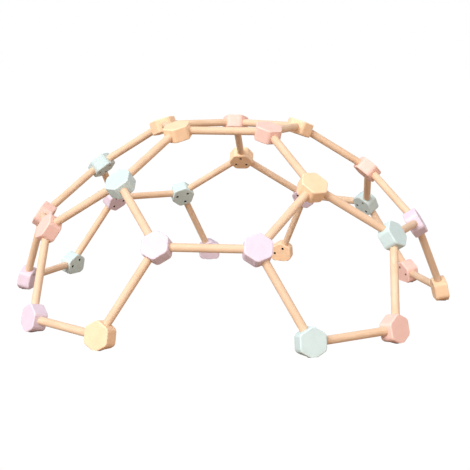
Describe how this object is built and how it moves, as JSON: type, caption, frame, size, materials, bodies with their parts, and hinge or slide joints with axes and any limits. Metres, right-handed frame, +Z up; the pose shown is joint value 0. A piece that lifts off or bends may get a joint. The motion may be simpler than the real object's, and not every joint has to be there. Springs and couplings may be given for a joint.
{
  "type": "dome climber",
  "caption": "Free-standing climbing dome of round wooden rods bolted into pastel hexagonal wooden hubs, forming five- and six-sided openings around a den a child can crawl into.",
  "frame": {"origin": "middle of the footprint box, on the floor", "axes": "+X is to the right in the front view, +Y points away from the front, +Z up; the front doorway faces -Y"},
  "size_m": [1.5672, 1.5044, 0.6428],
  "materials": {
    "rod_wood": "fine-sanded, clear oiled, pale straight grain",
    "paint_yellow": "satin pastel paint on solid wood",
    "paint_pink": "satin pastel paint on solid wood",
    "paint_blue": "satin pastel paint on solid wood",
    "paint_lilac": "satin pastel paint on solid wood",
    "screw_steel": "black oxide",
    "foot_pad": "matte dark brown"
  },
  "bodies": {
    "root": {"base_hub_back_lh": "paint_yellow", "base_hub_back_rh": "paint_lilac", "base_hub_front_left_lh": "paint_lilac", "base_hub_front_left_rh": "paint_yellow", "base_hub_front_right_lh": "paint_blue", "base_hub_front_right_rh": "paint_pink", "base_hub_left_lh": "paint_blue", "base_hub_left_rh": "paint_lilac", "base_hub_right_lh": "paint_yellow", "base_hub_right_rh": "paint_pink", "base_hub_screws": "screw_steel", "base_pads": "foot_pad", "base_rod_back": "rod_wood", "base_rod_front_left": "rod_wood", "base_rod_front_right": "rod_wood", "base_rod_left": "rod_wood", "base_rod_right": "rod_wood", "crown_hub_back": "paint_pink", "crown_hub_front_left": "paint_yellow", "crown_hub_front_right": "paint_pink", "crown_hub_left": "paint_yellow", "crown_hub_right": "paint_yellow", "crown_ring_rods": "rod_wood", "lower_side_rods_back": "rod_wood", "lower_side_rods_front_left": "rod_wood", "lower_side_rods_front_right": "rod_wood", "lower_side_rods_left": "rod_wood", "lower_side_rods_right": "rod_wood", "shoulder_hub_back": "paint_yellow", "shoulder_hub_front_left": "paint_blue", "shoulder_hub_front_right": "paint_yellow", "shoulder_hub_left": "paint_blue", "shoulder_hub_right": "paint_pink", "spoke_rod_back": "rod_wood", "spoke_rod_front_left": "rod_wood", "spoke_rod_front_right": "rod_wood", "spoke_rod_left": "rod_wood", "spoke_rod_right": "rod_wood", "upper_hub_screws": "screw_steel", "upper_side_rods_back": "rod_wood", "upper_side_rods_front_left": "rod_wood", "upper_side_rods_front_right": "rod_wood", "upper_side_rods_left": "rod_wood", "upper_side_rods_right": "rod_wood", "waist_hub_back_lh": "paint_lilac", "waist_hub_back_rh": "paint_blue", "waist_hub_front_left_lh": "paint_pink", "waist_hub_front_left_rh": "paint_lilac", "waist_hub_front_right_lh": "paint_lilac", "waist_hub_front_right_rh": "paint_blue", "waist_hub_left_lh": "paint_lilac", "waist_hub_left_rh": "paint_pink", "waist_hub_right_lh": "paint_lilac", "waist_hub_right_rh": "paint_blue", "waist_hub_screws": "screw_steel", "waist_rod_front": "rod_wood", "waist_rod_left_back": "rod_wood", "waist_rod_left_front": "rod_wood", "waist_rod_right_back": "rod_wood", "waist_rod_right_front": "rod_wood"}
  },
  "joints": []
}
